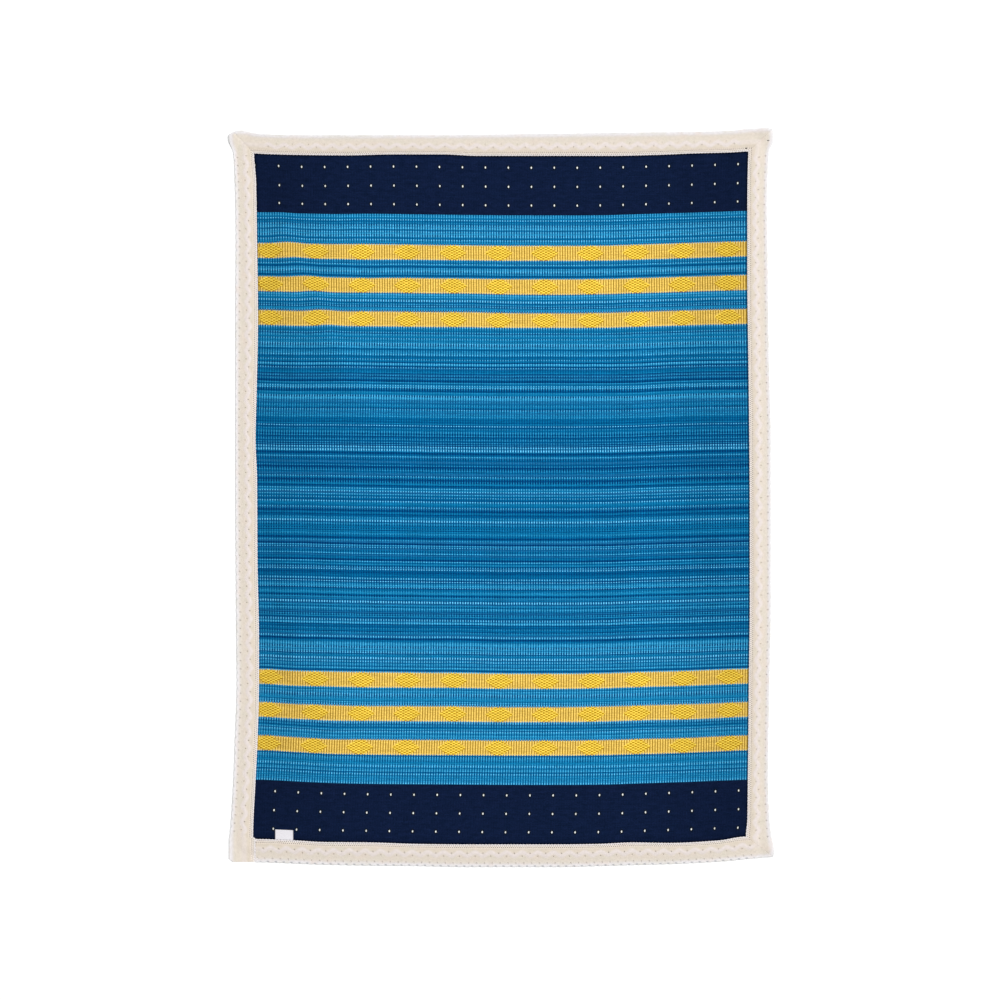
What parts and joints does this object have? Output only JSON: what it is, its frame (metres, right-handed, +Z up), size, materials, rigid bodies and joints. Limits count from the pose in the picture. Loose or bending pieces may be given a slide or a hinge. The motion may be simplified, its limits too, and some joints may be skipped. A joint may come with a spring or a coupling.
{
  "type": "jacquard blanket",
  "caption": "Ribbed woven blanket lying flat, with stripes and diamond bands in blue, navy and yellow, a cream lace trim mitred round it and a small blank label.",
  "frame": {"origin": "middle of the blanket's bounding box, on the plane that it lies on", "axes": "+Y along the length towards the top edge, +X across the width, +Z up out of the face that shows"},
  "size_m": [1.1199, 1.5181, 0.0084],
  "materials": {
    "panel_cloth": "ribbed jacquard weave, navy, blue and yellow",
    "trim_lace": "cream cotton lace trim with a zigzag of small holes",
    "label_tape": "white woven label, blank"
  },
  "bodies": {
    "root": {"panel": "panel_cloth", "trim_left": "trim_lace", "trim_right": "trim_lace", "trim_top": "trim_lace", "trim_bottom": "trim_lace", "label": "label_tape"}
  },
  "joints": []
}
